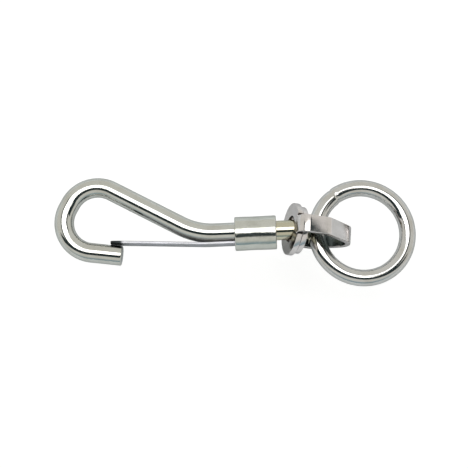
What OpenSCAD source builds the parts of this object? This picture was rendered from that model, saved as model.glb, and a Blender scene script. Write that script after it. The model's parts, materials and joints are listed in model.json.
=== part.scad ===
// Swivel snap hook: a wire hook closed by a leaf spring gate, a crimped ferrule that
// clamps the leaf, a folded strap eye that turns on the headed end of the wire, and a
// round ring in the eye's loop.
// Frame: X runs along the straight shank towards the ring, the hook lies in the XY
// plane and Z is square to it. The origin is where the line of the shank meets the
// inside of the bow.

/* [Hook wire] */
// Diameter of the hook's wire
wire_d = 5.0; // [4.8:0.1:5.1]
// Radius of the bend between the shank and the straight back
shank_bend_r = 17.5; // [16:0.5:19]
// Angle between the back and the shank
back_angle = 29.5; // [28:0.5:31]
// Length of the straight back
back_l = 19.7; // [19:0.1:20.5]
// Radius of the bow's two bends
bow_r = 7.8; // [7.4:0.1:8.2]
// Turn of the bow's upper bend
bow_upper_turn = 89.7; // [88:0.1:91]
// Short straight at the crown of the bow
crown_l = 1.3; // [0.8:0.1:2]
// Turn of the bow's lower bend
bow_lower_turn = 111.3; // [110:0.1:112.5]
// Length of the straight nose
nose_l = 7.95; // [7.6:0.05:8.2]
// Rounding of the nose's cut edge
nose_edge = 0.3; // [0.1:0.05:0.5]
// How much thinner the wire has drawn in its bends
bend_thinning = 0.02; // [0.02:0.01:0.05]

/* [Shank and head] */
// Straight shank from the first bend to the ferrule
shank_l = 5.1; // [4.6:0.1:5.6]
// Bare neck from the ferrule to the underside of the head
neck_l = 8.0; // [7.95:0.05:8.1]
// Diameter of the rivet head on the end of the neck
head_d = 7.4; // [7.2:0.1:7.5]
// Height of the rivet head
head_h = 1.0; // [0.8:0.1:1.1]

/* [Ferrule] */
// Length of the ferrule
ferrule_l = 10.5; // [9.5:0.1:11]
// Outside diameter of the ferrule
ferrule_d = 8.6; // [8.4:0.1:9]
// How far the ferrule's centre sits towards the leaf
ferrule_offset = 0.45; // [0.3:0.05:0.5]
// Rounding of the ferrule's outer end edges
ferrule_edge = 0.25; // [0.1:0.05:0.4]

/* [Gate leaf] */
// Thickness of the spring leaf
leaf_t = 0.7; // [0.6:0.05:0.75]
// Width of the spring leaf
leaf_w = 4.0; // [3.6:0.1:4.2]
// How far the root of the leaf reaches into the ferrule
leaf_grip = 9.0; // [7:0.5:10]
// Length of the leaf that lies on the shank, from the ferrule to where it lifts off
leaf_flat = 7.4; // [7:0.1:7.8]
// Rise of the leaf towards the nose
leaf_rise = 3.4; // [3.2:0.1:3.6]
// Length of the rising leaf up to its bending line
leaf_root_l = 3.7; // [3.5:0.1:4]
// Length of the leaf from its bending line to its tip
leaf_l = 20.3; // [19.5:0.1:20.7]

/* [Swivel eye] */
// Thickness of the strap
strap_t = 1.35; // [1.25:0.05:1.4]
// Width of the strap
strap_w = 4.4; // [4:0.1:4.6]
// Diameter of the round end beside the ferrule
outer_disc_d = 13.3; // [13:0.1:13.6]
// Diameter of the round end inside it
inner_disc_d = 11.9; // [11.6:0.1:11.9]
// Diameter of the holes in the round ends
disc_hole_d = 6.65; // [6.6:0.05:6.8]
// Gap between the two round ends
disc_gap = 0.3; // [0.25:0.05:0.35]
// Height of the outside of the upper wall over the eye's axis
upper_wall = 8.1; // [8.05:0.05:8.2]
// Depth of the outside of the lower wall under the eye's axis
lower_wall = 7.9; // [7.8:0.05:8]
// Outside radius of the bend from the outer round end into the upper wall
upper_root_r = 3.0; // [2.9:0.05:3.1]
// Outside radius of the bend from the inner round end into the lower wall
lower_root_r = 2.4; // [2.2:0.1:2.6]
// Outside radius of the creases in the walls
crease_r = 2.2; // [2:0.1:2.5]
// Distance along the upper wall to its crease
upper_crease = 7.2; // [7:0.1:7.6]
// Distance along the lower wall to its crease
lower_crease = 7.8; // [7.6:0.1:8]
// Outside radius of the loop's end
loop_r = 4.0; // [3.9:0.05:4.1]
// Distance along the eye to the centre of the loop's end
loop_at = 12.0; // [11.8:0.1:12.2]
// Height of that centre over the eye's axis
loop_up = 0.4; // [0.2:0.1:0.5]
// Width of the relief cut on each side of the strap's roots
relief = 0.15; // [0.1:0.05:0.25]

/* [How the slack parts lie] */
// Where the middle of the two round ends sits on the neck, from the ferrule
eye_at = 4.85; // [4.8:0.05:4.9]
// Roll of the eye about its own axis
eye_roll = -6; // [-7:0.5:-4]
// Droop of the eye from the line of the shank
eye_droop = 18; // [16:0.25:18]
// Lean of the eye to the side
eye_lean = -8; // [-8.5:0.5:-7]
// Where the ring's wire lies, along the shank from the ferrule
ring_at = 10.3; // [10.25:0.05:10.35]
// How far the ring's wire lies under the line of the shank
ring_under = 4.3; // [4.25:0.05:4.35]
// How far the ring's wire lies to the side of the line of the shank
ring_aside = -0.5; // [-0.6:0.1:-0.3]
// Droop of the ring from the plane of the hook
ring_droop = 8; // [7:0.25:8.5]
// Roll of the ring
ring_roll = -3; // [-4:0.5:-2]

/* [Ring] */
// Diameter of the ring's wire
ring_wire_d = 4.25; // [4.1:0.05:4.3]
// Inside diameter of the ring
ring_inner_d = 19.4; // [19:0.1:20]

/* [Hidden] */
$fn = 72;
wire_r = wire_d / 2;
// Each bend reaches this far into the straights beside it.
lap = 0.25;
// The flats of the strap lie this far inside the tangents of their bends.
flat_lap = 0.008;
// A cutter passes the faces that it cuts by this much.
over = 1;

// The wire's centre line as stations [x, y, heading], heading in degrees. It starts at
// the ring's end of the first bend and runs away from the ring. A positive turn is
// anticlockwise.
function ahead(p, l) = [p.x + l * cos(p.z), p.y + l * sin(p.z), p.z];
function centre_of(p, r, turn) =
    let (side = p.z + 90 * sign(turn))
    [p.x + r * cos(side), p.y + r * sin(side)];
function around(p, r, turn) =
    let (c = centre_of(p, r, turn), side = p.z + turn + 90 * sign(turn))
    [c.x - r * cos(side), c.y - r * sin(side), p.z + turn];

shank_end = [0, 0, 180];
back_start = around(shank_end, shank_bend_r, -back_angle);
back_end = ahead(back_start, back_l);
crown_start = around(back_end, bow_r, bow_upper_turn);
crown_end = ahead(crown_start, crown_l);
nose_start = around(crown_end, bow_r, bow_lower_turn);

// The origin, where the line of the shank meets the inside of the bow's lower bend.
bow_centre = centre_of(crown_end, bow_r, bow_lower_turn);
bow_inside = bow_r - wire_r;
seat_x = bow_centre.x - sqrt(bow_inside * bow_inside - bow_centre.y * bow_centre.y);

// Places along the shank, from the first bend towards the ring.
neck_x = shank_l + ferrule_l;
eye_x = neck_x + eye_at;

leaf_y = -wire_r - leaf_t;
leaf_lift_x = shank_l - leaf_flat;
leaf_pivot = ahead([leaf_lift_x, -wire_r, 180 - leaf_rise], leaf_root_l);

disc_pitch = strap_t + disc_gap;
disc_middle = (disc_pitch + strap_t) / 2;
ring_r = (ring_inner_d + ring_wire_d) / 2;

// The eye in its own section plane: x along the eye's axis, y towards the upper wall.
// The strap's outside runs anticlockwise round these circles [centre, radius].
lower_root = [[disc_pitch + lower_root_r, lower_root_r - lower_wall], lower_root_r];
upper_root = [[upper_root_r, upper_wall - upper_root_r], upper_root_r];
loop_circles = [
    lower_root,
    [[lower_crease, crease_r - lower_wall], crease_r],
    [[loop_at, loop_up], loop_r],
    [[upper_crease, upper_wall - crease_r], crease_r],
    upper_root,
];

module placed()
    translate([-seat_x, 0, 0]) children();

module straight(p, l)
    translate([p.x, p.y, 0]) rotate([0, 90, p.z]) cylinder(d = wire_d, h = l);

module bend(p, r, turn) {
    c = centre_of(p, r, turn);
    lap_angle = lap / r * 180 / PI;
    first = turn > 0 ? p.z - 90 : p.z + 90 + turn;
    translate([c.x, c.y, 0]) rotate([0, 0, first - lap_angle])
        rotate_extrude(angle = abs(turn) + 2 * lap_angle)
            translate([r, 0]) circle(d = wire_d - bend_thinning);
}

// Half the section of a bar of radius r and length l whose far edge is rounded by edge.
module bar_profile(r, l, edge) {
    square([r - edge, l]);
    square([r, l - edge]);
    translate([r - edge, l - edge]) circle(r = edge);
}

module nose()
    translate([nose_start.x, nose_start.y, 0]) rotate([0, 90, nose_start.z])
        rotate_extrude() bar_profile(wire_r, nose_l, nose_edge);

// Shank, neck and rivet head, turned about the X axis.
module shank() {
    head_r = head_d / 2;
    dome_r = (head_r * head_r + head_h * head_h) / (2 * head_h);
    head_x = neck_x + neck_l;
    rotate([0, 90, 0]) rotate_extrude() {
        square([wire_r, head_x]);
        translate([0, head_x]) intersection() {
            square([head_r, head_h]);
            translate([0, head_h - dome_r]) circle(r = dome_r, $fn = 300);
        }
    }
}

module hook_wire()
    color("silver") placed() {
        shank();
        bend(shank_end, shank_bend_r, -back_angle);
        straight(back_start, back_l);
        bend(back_end, bow_r, bow_upper_turn);
        straight(crown_start, crown_l);
        bend(crown_end, bow_r, bow_lower_turn);
        nose();
    }

module ferrule()
    color("gainsboro") placed() translate([shank_l, 0, 0]) difference() {
        translate([0, -ferrule_offset, 0]) rotate([0, 90, 0]) rotate_extrude() {
            bar_profile(ferrule_d / 2, ferrule_l, ferrule_edge);
            translate([0, ferrule_l]) mirror([0, 1]) bar_profile(ferrule_d / 2, ferrule_l, ferrule_edge);
        }
        translate([-over, 0, 0]) rotate([0, 90, 0]) cylinder(d = wire_d, h = ferrule_l + 2 * over);
        translate([-over, leaf_y, -leaf_w / 2]) cube([leaf_grip + over, leaf_t + wire_r, leaf_w]);
    }

// The leaf's root: gripped in the ferrule, flat on the shank, then rising to the bending
// line with a mitred corner on its underside.
module spring_root()
    color("lightgray") placed() linear_extrude(height = leaf_w, center = true) polygon([
        [shank_l + leaf_grip, -wire_r],
        [leaf_lift_x, -wire_r],
        [leaf_pivot.x, leaf_pivot.y],
        [leaf_pivot.x - leaf_t * sin(leaf_rise), leaf_pivot.y - leaf_t * cos(leaf_rise)],
        [leaf_lift_x - leaf_t * tan(leaf_rise / 2), leaf_y],
        [shank_l + leaf_grip, leaf_y],
    ]);

// The leaf turns about its upper edge, so its underside opens a little at the bending line.
module spring_leaf()
    color("lightsteelblue") placed()
        translate([leaf_pivot.x, leaf_pivot.y, -leaf_w / 2]) rotate([0, 0, -leaf_rise])
            translate([-leaf_l, -leaf_t, 0]) cube([leaf_l, leaf_t, leaf_w]);

// Direction, in degrees, square to the outer tangent line from circle a to circle b.
function tangent_normal(a, b) =
    let (d = b[0] - a[0])
    atan2(d.y, d.x) - 90 + asin((a[1] - b[1]) / norm(d));
function on_circle(c, angle, inset) = c[0] + (c[1] - inset) * [cos(angle), sin(angle)];

// The region inside the strap's outside line, drawn in by inset. The flats lie a hair
// inside the true tangent lines, so that each one meets its bends cleanly.
module loop_region(inset) {
    c = loop_circles;
    last = len(c) - 1;
    sides = [for (i = [0 : last - 1]) tangent_normal(c[i], c[i + 1])];
    flat_inset = inset + flat_lap;
    polygon([
        on_circle(c[0], 180, flat_inset),
        for (i = [0 : last - 1])
            each [on_circle(c[i], sides[i], flat_inset), on_circle(c[i + 1], sides[i], flat_inset)],
        on_circle(c[last], 180, flat_inset),
    ]);
    for (circle_i = c)
        translate(circle_i[0]) circle(r = circle_i[1] - inset);
}

// The strap from one round end to the other, with a tab that laps each round end.
module strap_section() {
    tab = 0.9;
    difference() {
        loop_region(0);
        loop_region(strap_t);
        translate([-over, lower_root[0].y])
            square([over + disc_pitch + strap_t, upper_root[0].y - lower_root[0].y]);
    }
    translate([disc_pitch, lower_root[0].y]) square([strap_t, tab]);
    translate([0, upper_root[0].y - tab]) square([strap_t, tab]);
}

// A round end with its hole, cut away where the strap bends off at the height root_y.
module round_end(d, root_y)
    difference() {
        rotate([0, 90, 0]) cylinder(d = d, h = strap_t);
        translate([-over, 0, 0]) rotate([0, 90, 0]) cylinder(d = disc_hole_d, h = strap_t + 2 * over);
        translate([-over, -strap_w / 2 - relief, root_y > 0 ? root_y : root_y - d])
            cube([strap_t + 2 * over, strap_w + 2 * relief, d]);
    }

module swivel_eye()
    color("tan") placed() translate([eye_x, 0, 0]) rotate([eye_roll, eye_droop, eye_lean])
        translate([-disc_middle, 0, 0]) {
        round_end(outer_disc_d, upper_root[0].y);
        translate([disc_pitch, 0, 0]) round_end(inner_disc_d, lower_root[0].y);
        rotate([90, 0, 0]) linear_extrude(height = strap_w, center = true) strap_section();
    }

// The ring hangs from the point of its wire that lies in the eye.
module ring()
    color("gray") placed() translate([neck_x + ring_at, ring_aside, -ring_under])
        rotate([ring_roll, ring_droop, 0]) translate([ring_r, 0, 0])
            rotate_extrude() translate([ring_r, 0]) circle(d = ring_wire_d);

hook_wire();
ferrule();
spring_root();
spring_leaf();
swivel_eye();
ring();
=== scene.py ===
import json
from math import asin, atan2, ceil, cos, exp, pi, radians, sin, sqrt, tan

import bmesh
import bpy
from mathutils import Matrix, Vector


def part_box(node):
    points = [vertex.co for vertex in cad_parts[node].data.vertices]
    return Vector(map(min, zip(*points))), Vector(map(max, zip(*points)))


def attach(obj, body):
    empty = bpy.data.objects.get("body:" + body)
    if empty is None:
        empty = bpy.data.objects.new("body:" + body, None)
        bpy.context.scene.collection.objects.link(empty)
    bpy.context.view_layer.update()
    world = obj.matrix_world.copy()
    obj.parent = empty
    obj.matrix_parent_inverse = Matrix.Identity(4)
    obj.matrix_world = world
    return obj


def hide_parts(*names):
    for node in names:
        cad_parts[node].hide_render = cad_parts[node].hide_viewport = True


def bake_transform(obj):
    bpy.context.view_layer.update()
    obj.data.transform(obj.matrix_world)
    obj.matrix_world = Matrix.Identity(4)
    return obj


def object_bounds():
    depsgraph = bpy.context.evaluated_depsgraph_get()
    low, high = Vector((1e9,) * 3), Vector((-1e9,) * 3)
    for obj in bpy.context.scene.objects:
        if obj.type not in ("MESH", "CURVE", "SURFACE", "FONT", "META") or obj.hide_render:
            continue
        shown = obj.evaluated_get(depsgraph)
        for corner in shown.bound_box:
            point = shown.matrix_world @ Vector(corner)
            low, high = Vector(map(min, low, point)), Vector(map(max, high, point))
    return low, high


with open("model.json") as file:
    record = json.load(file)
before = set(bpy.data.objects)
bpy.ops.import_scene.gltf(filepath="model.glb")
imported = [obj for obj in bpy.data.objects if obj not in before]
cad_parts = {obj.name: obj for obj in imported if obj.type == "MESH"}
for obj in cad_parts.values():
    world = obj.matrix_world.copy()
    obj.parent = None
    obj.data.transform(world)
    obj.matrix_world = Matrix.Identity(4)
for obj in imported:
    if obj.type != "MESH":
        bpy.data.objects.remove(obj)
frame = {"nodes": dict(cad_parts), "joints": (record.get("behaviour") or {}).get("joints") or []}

cad_low, cad_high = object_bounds()

MM = 0.001
TURN = 2 * pi

# The boxes of the CAD nodes, and the joints: every piece is placed from these.
hook_low, hook_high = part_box("hook_wire")
ferrule_low, ferrule_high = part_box("ferrule")
root_low, root_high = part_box("spring_root")
leaf_low, leaf_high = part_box("spring_leaf")
ring_low, ring_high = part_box("ring")
joints = {j["name"]: j for j in frame["joints"]}
gate_pivot = Vector(joints["gate_flex"]["pos_m"])
ring_pivot = Vector(joints["ring_swing"]["pos_m"])
ring_tangent = Vector(joints["ring_swing"]["axis"])

# The hook's driving sizes, the same as the CAD's.
WIRE_R = 2.5 * MM
SHANK_L = 5.1 * MM
SHANK_BEND_R = 17.5 * MM
BACK_ANGLE = radians(29.5)
BACK_L = 19.7 * MM
BOW_R = 7.8 * MM
BOW_UPPER_TURN = radians(89.7)
CROWN_L = 1.3 * MM
BOW_LOWER_TURN = radians(111.3)
NOSE_L = 7.95 * MM
NOSE_EDGE = 0.3 * MM
HEAD_R = 3.7 * MM
HEAD_H = 1.0 * MM
LEAF_T = 0.7 * MM
LEAF_RISE = radians(3.4)
LEAF_ROOT_L = 3.7 * MM
LEAF_L = 20.3 * MM

# The swivel eye's driving sizes, the same as the CAD's.
STRAP_T = 1.35 * MM
STRAP_W = 4.4 * MM
STRAP_RELIEF = 0.15 * MM
OUTER_END_R = 6.65 * MM
INNER_END_R = 5.95 * MM
HOLE_R = 3.325 * MM
EYE_PITCH = 1.65 * MM
UPPER_WALL = 8.1 * MM
LOWER_WALL = 7.9 * MM
UPPER_ROOT_R = 3.0 * MM
LOWER_ROOT_R = 2.4 * MM
CREASE_R = 2.2 * MM
UPPER_CREASE = 7.2 * MM
LOWER_CREASE = 7.8 * MM
LOOP_R = 4.0 * MM
LOOP_AT = 12.0 * MM
LOOP_UP = 0.4 * MM
EYE_ROLL = radians(-6)
EYE_DROOP = radians(18)
EYE_LEAN = radians(-8)

# Sizes that only the visible pieces have: their fine detail, and what keeps the model
# inside the CAD's box.
BEND_THINNING = 0.015 * MM
HEAD_SHRINK = 0.99
HEAD_UNDERCUT = 0.985
DOME_SHRINK = 0.98
HEAD_INSET = 0.01 * MM
UNDER_HEAD_SINK = 0.05 * MM
HEAD_FILLET = 0.25 * MM
NECK_START = 0.4 * MM
RING_WIRE_R = 2.12 * MM
FERRULE_RIM = 0.32 * MM
FERRULE_FIT = 0.03 * MM
FERRULE_WALL = 0.02 * MM
CRIMP_DEPTH = 0.05 * MM
CRIMP_SPREAD = 0.22
LEAF_EDGE = 0.09 * MM
LEAF_CHAMFER = 0.3
LEAF_TAPER_L = 3.4 * MM
LEAF_TIP_HALF = 1.25 * MM
LEAF_LIFT_BEND_L = 1 * MM
WELD_AT = radians(125)
WELD_GROOVE = radians(1.1)
WELD_DEPTH = 0.22 * MM
WELD_STEP = 0.13 * MM
WELD_STEP_FADE = radians(14)
STRAP_EDGE = 0.16 * MM
STRAP_TUCK = 0.6 * MM
STRAP_HAIR = 0.02 * MM

# How finely the pieces are divided along their straights and round their bends.
BAR_STEP = 0.8 * MM
CROWN_STEP = 0.6 * MM
LEAF_FLAT_STEP = 0.7 * MM
LEAF_STEP = 0.35 * MM
BEND_STEP = radians(2.5)
SHANK_BEND_STEP = radians(1.5)
STRAP_BEND_STEP = radians(4)
WIRE_SIDES = 64
FERRULE_SIDES = 120
RING_SEGMENTS = 288
RING_SIDES = 48
ROUND_END_RAYS = 144
# The smallest ring of points at the middle of a round face, as a share of its radius.
MIDDLE_SHARE = 0.02
# Rays this near a cut corner of a round end give way to a close pair beside it.
CORNER_CLEAR = radians(2)
CORNER_PAIR = (0.999, 1.001)
# Edges sharper than this stay crisp.
CREASED = radians(40)
LEAF_CREASED = radians(50)


# ---------- mesh helpers ----------

def new_object(name, verts, faces, smooth=True):
    """A mesh object from its points and faces."""
    mesh = bpy.data.meshes.new(name)
    mesh.from_pydata([tuple(v) for v in verts], [], faces)
    mesh.validate()
    mesh.update()
    for polygon in mesh.polygons:
        polygon.use_smooth = smooth
    obj = bpy.data.objects.new(name, mesh)
    bpy.context.scene.collection.objects.link(obj)
    return obj


def bar_faces(ring_count, side_count):
    """Faces that join rings of points one after another and close both ends."""
    faces = []
    for i in range(ring_count - 1):
        for k in range(side_count):
            a, b = i * side_count + k, i * side_count + (k + 1) % side_count
            faces.append((a, b, b + side_count, a + side_count))
    faces.append(tuple(reversed(range(side_count))))
    faces.append(tuple((ring_count - 1) * side_count + k for k in range(side_count)))
    return faces


def hoop_faces(ring_count, side_count, base=0):
    """Faces that join rings of points one after another, and the last to the first."""
    faces = []
    for i in range(ring_count):
        here, there = base + i * side_count, base + (i + 1) % ring_count * side_count
        for k in range(side_count):
            after = (k + 1) % side_count
            faces.append((here + k, here + after, there + after, there + k))
    return faces


def quarter(count):
    """Angles of a quarter turn in equal steps, from nothing to a right angle."""
    return [pi / 2 * i / count for i in range(count + 1)]


def outward(obj):
    """Turns every face to the outside."""
    mesh = bmesh.new()
    mesh.from_mesh(obj.data)
    bmesh.ops.recalc_face_normals(mesh, faces=mesh.faces)
    mesh.to_mesh(obj.data)
    mesh.free()


def sharpen(obj, angle):
    """Keeps edges sharper than the angle crisp and shades the rest smooth."""
    mesh = bmesh.new()
    mesh.from_mesh(obj.data)
    for edge in mesh.edges:
        edge.smooth = len(edge.link_faces) == 2 and edge.calc_face_angle(0) < angle
    mesh.to_mesh(obj.data)
    mesh.free()


# ---------- the wire's centre line ----------

def run(path, length, step):
    """Carries a path of (point, heading) straight on."""
    point, heading = path[-1]
    count = max(1, ceil(length / step))
    for i in range(1, count + 1):
        s = length * i / count
        path.append((point + s * Vector((cos(heading), sin(heading), 0)), heading))


def bend(path, radius, turn, step=BEND_STEP):
    """Carries a path round a bend; a positive turn is anticlockwise."""
    point, heading = path[-1]
    side = 1 if turn > 0 else -1
    centre = point + side * radius * Vector((-sin(heading), cos(heading), 0))
    count = ceil(abs(turn) / step)
    for i in range(1, count + 1):
        h = heading + turn * i / count
        path.append((centre - side * radius * Vector((-sin(h), cos(h), 0)), h))


def swept(name, stations):
    """A round bar along stations of (point, heading, radius)."""
    verts = []
    for point, heading, radius in stations:
        across = Vector((-sin(heading), cos(heading), 0))
        for k in range(WIRE_SIDES):
            a = TURN * k / WIRE_SIDES
            verts.append(point + radius * (cos(a) * across + sin(a) * Vector((0, 0, 1))))
    obj = new_object(name, verts, bar_faces(len(stations), WIRE_SIDES))
    outward(obj)
    sharpen(obj, CREASED)
    return obj


# ---------- pieces ----------

def rivet_head():
    """Stations of the peened head, from the top of its dome to the wire under it."""
    head_r = HEAD_R * HEAD_SHRINK
    dome = HEAD_H * DOME_SHRINK
    dome_r = (head_r ** 2 + dome ** 2) / (2 * dome)
    top_x = hook_high.x
    under_x = top_x - HEAD_H - UNDER_HEAD_SINK
    rings = 12
    stations = []
    for i in range(rings + 1):
        r = head_r * (MIDDLE_SHARE + (1 - MIDDLE_SHARE) * i / rings)
        depth = dome_r - sqrt(dome_r ** 2 - r ** 2)
        stations.append((Vector((top_x - depth - HEAD_INSET, 0, 0)), pi, r))
    stations.append((Vector((under_x, 0, 0)), pi, head_r * HEAD_UNDERCUT))
    for a in quarter(4):
        place = Vector((under_x - HEAD_FILLET * (1 - cos(a)), 0, 0))
        stations.append((place, pi, WIRE_R + HEAD_FILLET * (1 - sin(a))))
    return stations


def hook_wire():
    """The whole wire from the peened head to the cut nose."""
    path = [(Vector((hook_high.x - HEAD_H - NECK_START, 0, 0)), pi)]
    bend_x = ferrule_low.x - SHANK_L
    run(path, path[0][0].x - bend_x, BAR_STEP)
    bend(path, SHANK_BEND_R, -BACK_ANGLE, SHANK_BEND_STEP)
    run(path, BACK_L, BAR_STEP)
    bend(path, BOW_R, BOW_UPPER_TURN)
    run(path, CROWN_L, CROWN_STEP)
    bend(path, BOW_R, BOW_LOWER_TURN)
    run(path, NOSE_L - NOSE_EDGE, BAR_STEP)
    thin_r = WIRE_R - BEND_THINNING
    stations = rivet_head() + [(p, h, thin_r) for p, h in path]
    point, heading = path[-1]
    ahead = Vector((cos(heading), sin(heading), 0))
    for a in quarter(5)[1:]:
        place = point + ahead * NOSE_EDGE * sin(a)
        stations.append((place, heading, thin_r - NOSE_EDGE * (1 - cos(a))))
    for share in (0.6, 0.25, MIDDLE_SHARE):
        stations.append((point + ahead * NOSE_EDGE, heading, (WIRE_R - NOSE_EDGE) * share))
    obj = swept("hook_wire_shown", stations)
    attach(obj, "hook")
    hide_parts("hook_wire")
    return obj


def ferrule():
    """A sleeve with rounded rims whose bore takes the wire and the leaf together."""
    length = ferrule_high.x - ferrule_low.x
    outer = (ferrule_high.z - ferrule_low.z) / 2
    middle_y = (ferrule_high.y + ferrule_low.y) / 2
    bore = WIRE_R + FERRULE_FIT
    slot_half = (root_high.z - root_low.z) / 2 + FERRULE_FIT
    slot_y = -WIRE_R - LEAF_T - FERRULE_FIT

    def bore_at(angle):
        """Distance from the sleeve's own centre to the bore along a ray."""
        dy, dz = cos(angle), sin(angle)
        b = middle_y * dy
        far = -b + sqrt(b * b - middle_y ** 2 + bore ** 2)
        if dy < 0:
            to_floor = (slot_y - middle_y) / dy
            to_side = slot_half / abs(dz) if abs(dz) > 1e-6 else 1
            far = max(far, min(to_floor, to_side))
        return far

    def crimp(x_share, angle):
        """The crimping tool leaves the middle a hair narrower on two sides."""
        along = exp(-((x_share - 0.5) / CRIMP_SPREAD) ** 2)
        return CRIMP_DEPTH * along * (0.5 + 0.5 * cos(2 * angle))

    # The outline of the sleeve's wall as (x, radius); None stands for the bore.
    rim = FERRULE_RIM
    rounded = [(rim * (1 - cos(a)), outer - rim * (1 - sin(a))) for a in quarter(5)]
    body = [(length * i / 16, outer) for i in range(1, 16)]
    far_end = [(length - x, r) for x, r in reversed(rounded)]
    outline = [(0.0, None)] + rounded + body + far_end + [(length, None)]
    verts = []
    for k in range(FERRULE_SIDES):
        a = TURN * k / FERRULE_SIDES
        inner = bore_at(a)
        for x, r in outline:
            if r is None:
                radius = inner
            else:
                radius = max(inner + FERRULE_WALL, r - crimp(x / length, a))
            verts.append((ferrule_low.x + x, middle_y + radius * cos(a), radius * sin(a)))
    obj = new_object("ferrule_shown", verts, hoop_faces(FERRULE_SIDES, len(outline)))
    outward(obj)
    sharpen(obj, CREASED)
    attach(obj, "hook")
    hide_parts("ferrule")
    return obj


def leaf():
    """One strip from inside the ferrule to its rounded tip, with broken edges."""
    full_half = (leaf_high.z - leaf_low.z) / 2
    lift_x = gate_pivot.x + LEAF_ROOT_L * cos(LEAF_RISE)
    path = [(Vector((root_high.x, -WIRE_R, 0)), pi)]
    run(path, root_high.x - lift_x - LEAF_LIFT_BEND_L, LEAF_FLAT_STEP)
    bend(path, 2 * LEAF_LIFT_BEND_L / LEAF_RISE, -LEAF_RISE, LEAF_RISE / 6)
    end = gate_pivot + LEAF_L * Vector((-cos(LEAF_RISE), sin(LEAF_RISE), 0))
    run(path, (end - path[-1][0]).length, LEAF_STEP)
    verts = []
    for point, heading in path:
        up = -Vector((-sin(heading), cos(heading), 0))
        left_to_tip = (path[-1][0] - point).length
        half = full_half
        if left_to_tip < LEAF_TAPER_L:
            s = 1 - left_to_tip / LEAF_TAPER_L
            half = LEAF_TIP_HALF + (full_half - LEAF_TIP_HALF) * sqrt(max(0, 1 - s * s))
        edge = min(LEAF_EDGE, half / 2)
        cut = edge * LEAF_CHAMFER
        section = [(0, half - edge), (-cut, half - cut), (-edge, half),
                   (-LEAF_T + edge, half), (-LEAF_T + cut, half - cut), (-LEAF_T, half - edge)]
        section += [(h, -w) for h, w in reversed(section)]
        for height, width in section:
            verts.append(point + up * height + Vector((0, 0, width)))
    obj = new_object("leaf_shown", verts, bar_faces(len(path), len(section)))
    outward(obj)
    sharpen(obj, LEAF_CREASED)
    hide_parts("spring_root", "spring_leaf")
    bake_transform(obj)
    return obj


def ring():
    """A round ring with its butt weld: a fine groove and a slight step of the two ends."""
    outer = max((ring_high.y - ring_low.y) / 2, RING_WIRE_R * 2)
    mean_r = outer - RING_WIRE_R
    across = ring_tangent.normalized()
    droop = asin((ring_pivot.z - (ring_high.z + ring_low.z) / 2) / mean_r)
    out = Vector((cos(droop), 0, -sin(droop)))
    out = (out - out.dot(across) * across).normalized()
    normal = out.cross(across).normalized()
    centre = ring_pivot + mean_r * out
    verts = []
    for i in range(RING_SEGMENTS):
        a = TURN * i / RING_SEGMENTS
        off = (a - WELD_AT + pi) % TURN - pi
        depth = WELD_DEPTH * exp(-(off / WELD_GROOVE) ** 2)
        step = WELD_STEP * exp(-off / WELD_STEP_FADE) if off > 0 else 0
        step *= min(1.0, abs(off) / WELD_GROOVE)
        radial = cos(a) * out + sin(a) * across
        r = RING_WIRE_R - depth
        for k in range(RING_SIDES):
            b = TURN * k / RING_SIDES
            verts.append(centre + (mean_r - step + r * cos(b)) * radial + r * sin(b) * normal)
    obj = new_object("ring_shown", verts, hoop_faces(RING_SEGMENTS, RING_SIDES))
    outward(obj)
    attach(obj, "ring_body")
    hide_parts("ring")
    return obj


def strap_outline(circles):
    """Points and outward directions along the strap's outside, anticlockwise: it wraps
    the circles (centre, radius), in order, and runs straight between them."""
    sides = []
    for (c0, r0), (c1, r1) in zip(circles, circles[1:]):
        d = c1 - c0
        sides.append(atan2(d.y, d.x) - pi / 2 + asin((r0 - r1) / d.length))
    starts = [-pi] + sides
    ends = sides + [pi]
    points = []
    for (centre, r), start, end in zip(circles, starts, ends):
        sweep = (end - start) % TURN
        count = max(2, ceil(sweep / STRAP_BEND_STEP))
        for k in range(count + 1):
            a = start + sweep * k / count
            out = Vector((cos(a), sin(a)))
            points.append((centre + r * out, out))
    return points


def add_strap(verts, faces, inside):
    """The folded strap, with its rolled edges; its inner faces, which get painted shade, are
    noted in inside.
    """
    line = strap_outline([
        (Vector((EYE_PITCH + LOWER_ROOT_R, LOWER_ROOT_R - LOWER_WALL)), LOWER_ROOT_R),
        (Vector((LOWER_CREASE, CREASE_R - LOWER_WALL)), CREASE_R),
        (Vector((LOOP_AT, LOOP_UP)), LOOP_R),
        (Vector((UPPER_CREASE, UPPER_WALL - CREASE_R)), CREASE_R),
        (Vector((UPPER_ROOT_R, UPPER_WALL - UPPER_ROOT_R)), UPPER_ROOT_R)])
    # The ends reach a little way into the round ends, a hair inside their faces.
    tuck, hair = Vector((0, STRAP_TUCK)), Vector((0, STRAP_HAIR))
    (first, first_out), (last, last_out) = line[0], line[-1]
    stations = [(first + tuck, first_out, STRAP_HAIR), (first + hair, first_out, STRAP_HAIR)]
    stations += [(p, n, 0) for p, n in line]
    stations += [(last - hair, last_out, STRAP_HAIR), (last - tuck, last_out, STRAP_HAIR)]
    half, e = STRAP_W / 2, STRAP_EDGE
    corner = [(e * (1 - sin(a)), half - e * (1 - cos(a))) for a in quarter(4)]
    right = list(reversed(corner)) + [(STRAP_T - d, w) for d, w in corner]
    section = right + [(d, -w) for d, w in reversed(right)]
    base, sides = len(verts), len(section)
    for point, out, inset in stations:
        for depth, width in section:
            d = min(max(depth, inset), STRAP_T - inset)
            w = max(-half + inset, min(half - inset, width))
            place = point - d * out
            verts.append(Vector((place.x, w, place.y)))
    inner_face = len(right) - 1
    for i, face in enumerate(bar_faces(len(stations), sides)):
        if i < (len(stations) - 1) * sides and i % sides == inner_face:
            inside.append(len(faces))
        faces.append(tuple(base + k for k in face))


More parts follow.
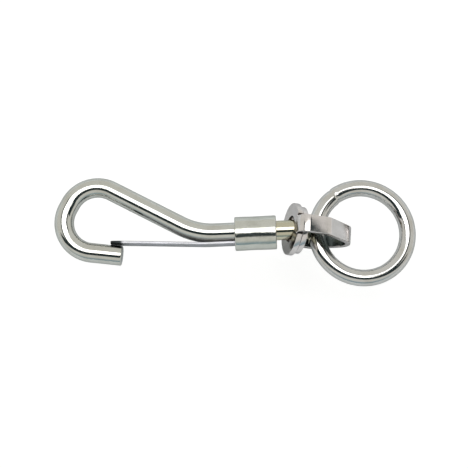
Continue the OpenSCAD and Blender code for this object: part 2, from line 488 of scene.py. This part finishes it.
def add_round_end(verts, faces, x, radius, root):
    """A holed round end, cut straight off where the strap bends away from it."""
    half = STRAP_W / 2 + STRAP_RELIEF
    reach = abs(root) + STRAP_EDGE
    corner = atan2(half, reach)
    middle = pi / 2 if root > 0 else -pi / 2

    def from_middle(angle):
        return (angle - middle + pi) % TURN - pi

    even = [TURN * k / ROUND_END_RAYS for k in range(ROUND_END_RAYS)]
    angles = [a for a in even if abs(abs(from_middle(a)) - corner) > CORNER_CLEAR]
    for side in (-1, 1):
        angles += [(middle + side * corner * share) % TURN for share in CORNER_PAIR]
    angles.sort()
    e = STRAP_EDGE
    turn = quarter(4)
    base = len(verts)
    for a in angles:
        off = from_middle(a)
        edge_r = reach / cos(off) if abs(off) < corner else radius
        bore = [(e * (1 - sin(t)), HOLE_R + e - e * cos(t)) for t in turn]
        rim = [(e * (1 - sin(t)), edge_r - e + e * cos(t)) for t in turn]
        loop = bore[::-1] + [(STRAP_T - px, pr) for px, pr in bore]
        loop += [(STRAP_T - px, pr) for px, pr in reversed(rim)] + rim
        for px, pr in loop:
            verts.append(Vector((x + px, pr * cos(a), pr * sin(a))))
    faces += hoop_faces(len(angles), len(loop), base)


def swivel_eye():
    """The folded strap: two holed round ends on the neck and the loop between them.
    Returns the piece and the numbers of the faces inside the loop, which get painted shade."""
    verts, faces, inside = [], [], []
    add_strap(verts, faces, inside)
    add_round_end(verts, faces, 0, OUTER_END_R, UPPER_WALL - UPPER_ROOT_R)
    add_round_end(verts, faces, EYE_PITCH, INNER_END_R, LOWER_ROOT_R - LOWER_WALL)
    turned = (Matrix.Rotation(EYE_LEAN, 4, "Z") @ Matrix.Rotation(EYE_DROOP, 4, "Y")
              @ Matrix.Rotation(EYE_ROLL, 4, "X"))
    place = (Matrix.Translation(joints["swivel_spin"]["pos_m"]) @ turned
             @ Matrix.Translation((-(EYE_PITCH + STRAP_T) / 2, 0, 0)))
    obj = new_object("swivel_eye_shown", [place @ v for v in verts], faces)
    outward(obj)
    sharpen(obj, CREASED)
    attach(obj, "eye")
    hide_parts("swivel_eye")
    return obj, inside


# ---------- materials ----------

def node(tree, kind, **values):
    """A new shader node with some of its inputs set."""
    made = tree.nodes.new(kind)
    for key, value in values.items():
        made.inputs[key].default_value = value
    return made


def plated_steel(name, tint, dull_tint, roughness, waviness, grain, tint_and_painted_shade=None):
    """Bright nickel plate: a slow wave in the plating, fine handling marks along the
    grain, patches of duller tint and a little more roughness where it has been handled.
    A colour shift along X (start, end, colour) deepens from its start to its end: a yellowish
    tint on the wire's neck, and painted shade on the leaf's tip."""
    mat = bpy.data.materials.new(name)
    mat.use_nodes = True
    tree = mat.node_tree
    link = tree.links.new
    shader = tree.nodes["Principled BSDF"]
    shader.inputs["Metallic"].default_value = 1.0
    shader.inputs["Specular Tint"].default_value = (0.6, 0.6, 0.6, 1)
    place = node(tree, "ShaderNodeTexCoord")
    along = node(tree, "ShaderNodeMapping", Scale=grain)
    link(place.outputs["Object"], along.inputs["Vector"])

    patches = node(tree, "ShaderNodeTexNoise", Scale=260.0, Detail=4.0, Roughness=0.6)
    link(place.outputs["Object"], patches.inputs["Vector"])
    marks = node(tree, "ShaderNodeTexNoise", Scale=1.0, Detail=5.0, Roughness=0.65)
    link(along.outputs["Vector"], marks.inputs["Vector"])

    share = node(tree, "ShaderNodeMapRange", **{"From Min": 0.42, "From Max": 0.72})
    link(patches.outputs["Fac"], share.inputs["Value"])
    colour = node(tree, "ShaderNodeMixRGB", Color1=(*tint, 1), Color2=(*dull_tint, 1))
    link(share.outputs["Result"], colour.inputs["Fac"])
    plate = colour.outputs["Color"]
    # Colour changing along X: a yellowish tint on the wire's neck, painted shade on the leaf's
    # tip.
    if tint_and_painted_shade:
        start, end, tint_and_shade_colour = tint_and_painted_shade
        parts = node(tree, "ShaderNodeSeparateXYZ")
        link(place.outputs["Object"], parts.inputs["Vector"])
        depth = node(tree, "ShaderNodeMapRange", **{"From Min": start, "From Max": end})
        link(parts.outputs["X"], depth.inputs["Value"])
        tinted_and_shaded = node(tree, "ShaderNodeMixRGB", Color2=(*tint_and_shade_colour, 1))
        link(depth.outputs["Result"], tinted_and_shaded.inputs["Fac"])
        link(plate, tinted_and_shaded.inputs["Color1"])
        plate = tinted_and_shaded.outputs["Color"]
    link(plate, shader.inputs["Base Color"])

    rough = node(tree, "ShaderNodeMapRange", **{
        "From Min": 0.3, "From Max": 0.7, "To Min": roughness * 0.7, "To Max": roughness * 1.5})
    link(marks.outputs["Fac"], rough.inputs["Value"])
    link(rough.outputs["Result"], shader.inputs["Roughness"])

    wave = node(tree, "ShaderNodeTexNoise", Scale=320.0, Detail=1.0, Roughness=0.4)
    link(place.outputs["Object"], wave.inputs["Vector"])
    slow = node(tree, "ShaderNodeBump", Strength=waviness, Distance=0.0004)
    link(wave.outputs["Fac"], slow.inputs["Height"])
    fine = node(tree, "ShaderNodeBump", Strength=0.05, Distance=0.00002)
    link(marks.outputs["Fac"], fine.inputs["Height"])
    link(slow.outputs["Normal"], fine.inputs["Normal"])
    link(fine.outputs["Normal"], shader.inputs["Normal"])
    return mat


def paint(obj, *mats):
    obj.data.materials.clear()
    for mat in mats:
        obj.data.materials.append(mat)


# Grain: how closely the handling marks lie along X, Y and Z, per metre.
WIRE_GRAIN = (90, 900, 900)
FERRULE_GRAIN = (300, 900, 900)
STRAP_GRAIN = (500, 500, 500)
LEAF_GRAIN = (80, 1200, 1200)
RING_GRAIN = (600, 600, 600)
# Beyond the ferrule the wire turns yellowish; the leaf's tip, where it lies over the nose, is
# painted near-black as shade.
NECK_YELLOW_TINT = (ferrule_high.x - 2 * MM, ferrule_high.x - 1 * MM, (0.52, 0.49, 0.38))
TIP_PAINTED_SHADE = (hook_low.x + 17.6 * MM, hook_low.x + 16.8 * MM, (0.03, 0.035, 0.035))

wire_steel = plated_steel(
    "wire_plate", tint=(0.56, 0.56, 0.53), dull_tint=(0.50, 0.49, 0.45),
    roughness=0.10, waviness=0.02, grain=WIRE_GRAIN, tint_and_painted_shade=NECK_YELLOW_TINT)
ferrule_steel = plated_steel(
    "ferrule_plate", tint=(0.57, 0.57, 0.53), dull_tint=(0.48, 0.48, 0.43),
    roughness=0.15, waviness=0.22, grain=FERRULE_GRAIN)
strap_steel = plated_steel(
    "strap_plate", tint=(0.66, 0.62, 0.615), dull_tint=(0.56, 0.53, 0.51),
    roughness=0.13, waviness=0.03, grain=STRAP_GRAIN)
# The faces inside the strap's loop get a near-black plate: painted shade, where the inside of
# the loop lies in shadow.
strap_inside_painted_shade = plated_steel(
    "strap_inside_painted_shade", tint=(0.16, 0.19, 0.19), dull_tint=(0.10, 0.12, 0.12),
    roughness=0.25, waviness=0.03, grain=STRAP_GRAIN)
leaf_steel = plated_steel(
    "leaf_plate", tint=(0.42, 0.42, 0.45), dull_tint=(0.36, 0.36, 0.37),
    roughness=0.36, waviness=0.02, grain=LEAF_GRAIN, tint_and_painted_shade=TIP_PAINTED_SHADE)
ring_steel = plated_steel(
    "ring_plate", tint=(0.57, 0.56, 0.55), dull_tint=(0.50, 0.48, 0.45),
    roughness=0.11, waviness=0.02, grain=RING_GRAIN)

paint(hook_wire(), wire_steel)
paint(ferrule(), ferrule_steel)
paint(leaf(), leaf_steel)
paint(ring(), ring_steel)
eye, painted_shade_faces = swivel_eye()
paint(eye, strap_steel, strap_inside_painted_shade)
# The faces inside the loop take the second, near-black material: painted shade.
for index in painted_shade_faces:
    eye.data.polygons[index].material_index = 1
for name, mat in (("hook_wire", wire_steel), ("ferrule", ferrule_steel),
                  ("spring_root", leaf_steel), ("spring_leaf", leaf_steel),
                  ("swivel_eye", strap_steel), ("ring", ring_steel)):
    paint(frame["nodes"][name], mat)


# ---------- stage and light ----------

def sheet(name, size_x, size_y, place, turn, colour, glow=0.0):
    """A plain sheet; glow is white light of its own, as from a lit table."""
    x, y = size_x / 2, size_y / 2
    corners = [(-x, -y, 0), (x, -y, 0), (x, y, 0), (-x, y, 0)]
    obj = new_object(name, corners, [(0, 1, 2, 3)], False)
    obj.location = place
    obj.rotation_euler = turn
    mat = bpy.data.materials.new(name)
    mat.use_nodes = True
    shader = mat.node_tree.nodes["Principled BSDF"]
    shader.inputs["Base Color"].default_value = (*colour, 1)
    shader.inputs["Roughness"].default_value = 0.8
    shader.inputs["Specular IOR Level"].default_value = 0.1
    shader.inputs["Emission Color"].default_value = (1, 1, 1, 1)
    shader.inputs["Emission Strength"].default_value = glow
    paint(obj, mat)
    return obj


# The floor lies as deep as the ring is long, just below the reach of its swing.
FLOOR_SIZE = 6
FLOOR_GREY = (0.32, 0.32, 0.32)
FLOOR_GLOW = 0.76
ring_reach = ring_high.x - ring_low.x
floor_z = ring_pivot.z - ring_reach
sheet("floor", FLOOR_SIZE, FLOOR_SIZE, (0, 0, floor_z), (0, 0, 0), FLOOR_GREY, FLOOR_GLOW)

# What the metal mirrors is the table that the hook lies on, touching the bow and the
# underside of the eye, so it slopes against the hook's own plane.
TABLE_SIZE = 3
TABLE_SLOPE = radians(6.8)
TABLE_COLOUR = (0.86, 0.90, 0.93)
table_place = (0, 0, -WIRE_R - 0.15 * MM)
table = sheet("table", TABLE_SIZE, TABLE_SIZE, table_place, (0, TABLE_SLOPE, 0), TABLE_COLOUR)
table.visible_camera = False
table.visible_shadow = False
table.visible_diffuse = False

centre = (cad_low + cad_high) / 2
LIGHT_HEIGHT = 0.6
FLAG_LIFT = 0.01
FLAG_COLOUR = (0.02, 0.035, 0.04)


def overhead(x0, x1, y0, y1):
    """Size and middle of a patch overhead; its edges are degrees from straight up."""
    xs = [LIGHT_HEIGHT * tan(radians(x)) for x in (x0, x1)]
    ys = [LIGHT_HEIGHT * tan(radians(y)) for y in (y0, y1)]
    middle = centre + Vector((sum(xs) / 2, sum(ys) / 2, LIGHT_HEIGHT))
    return xs[1] - xs[0], ys[1] - ys[0], middle


def flag(name, *edges):
    """A dark card, a little above the light."""
    size_x, size_y, middle = overhead(*edges)
    place = middle + Vector((0, 0, FLAG_LIFT))
    sheet(name, size_x, size_y, place, (0, 0, 0), FLAG_COLOUR)


def softbox(name, watts, *edges):
    """A level rectangular light, facing down."""
    data = bpy.data.lights.new(name, "AREA")
    data.shape = "RECTANGLE"
    data.size, data.size_y, middle = overhead(*edges)
    data.energy = watts
    lamp = bpy.data.objects.new(name, data)
    bpy.context.scene.collection.objects.link(lamp)
    lamp.location = middle


flag("front_flag", -62, 62, -34, -5.5)
flag("right_flag", 27, 40, -5.5, 30)
flag("left_flag", -36, -27, -5.5, 30)
softbox("key", 1.6, -24, 24, -5.5, 23)

world = bpy.data.worlds.new("studio")
bpy.context.scene.world = world
world.use_nodes = True
tree = world.node_tree
background = tree.nodes["Background"]
direction = node(tree, "ShaderNodeTexCoord")
parts = node(tree, "ShaderNodeSeparateXYZ")
tree.links.new(direction.outputs["Generated"], parts.inputs["Vector"])
# The tent's walls are pale; its open front, low down towards -Y, is dim and bluish.
TENT_WALLS = (0.84, 0.84, 0.79, 1)
TENT_OPENING = (0.30, 0.42, 0.47, 1)
front = node(tree, "ShaderNodeMapRange", **{"From Min": -0.35, "From Max": -0.9})
tree.links.new(parts.outputs["Y"], front.inputs["Value"])
low = node(tree, "ShaderNodeMapRange", **{"From Min": 0.5, "From Max": 0.15})
tree.links.new(parts.outputs["Z"], low.inputs["Value"])
opening = tree.nodes.new("ShaderNodeMath")
opening.operation = "MULTIPLY"
tree.links.new(front.outputs["Result"], opening.inputs[0])
tree.links.new(low.outputs["Result"], opening.inputs[1])
tent = node(tree, "ShaderNodeMixRGB", Color1=TENT_WALLS, Color2=TENT_OPENING)
tree.links.new(opening.outputs["Value"], tent.inputs["Fac"])
tree.links.new(tent.outputs["Color"], background.inputs["Color"])
background.inputs["Strength"].default_value = 1.0
bpy.context.scene.view_settings.view_transform = "Standard"

# ---------- camera ----------

# The view is nearly straight down, from a little in front and to the right, and rolled.
ELEVATION = radians(80)
LEAN = radians(1.15)
ROLL = radians(2.45)
FOCAL = 115.4
DISTANCE = 0.37875
# A mark on the neck, this far beyond the ferrule, is held to the right of the picture's
# middle and over it.
MARK_AT = 1.94 * MM
MARK_RIGHT = 12.625 * MM
MARK_OVER = 0.96 * MM
camera_data = bpy.data.cameras.new("camera")
camera_data.sensor_width = 36
camera_data.lens = FOCAL
camera_data.clip_start, camera_data.clip_end = 0.01, 10
camera = bpy.data.objects.new("camera", camera_data)
bpy.context.scene.collection.objects.link(camera)
bpy.context.scene.camera = camera
back = Vector((sin(LEAN), -cos(ELEVATION), 0))
back.z = sqrt(1 - back.length_squared)
right = Vector((1, 0, 0))
right = (right - right.dot(back) * back).normalized()
up = back.cross(right)
right, up = cos(ROLL) * right - sin(ROLL) * up, sin(ROLL) * right + cos(ROLL) * up
mark = Vector((ferrule_high.x + MARK_AT, 0, 0))
aim = mark - right * MARK_RIGHT - up * MARK_OVER
turned = Matrix((right, up, back)).transposed().to_4x4()
camera.matrix_world = Matrix.Translation(aim + back * DISTANCE) @ turned
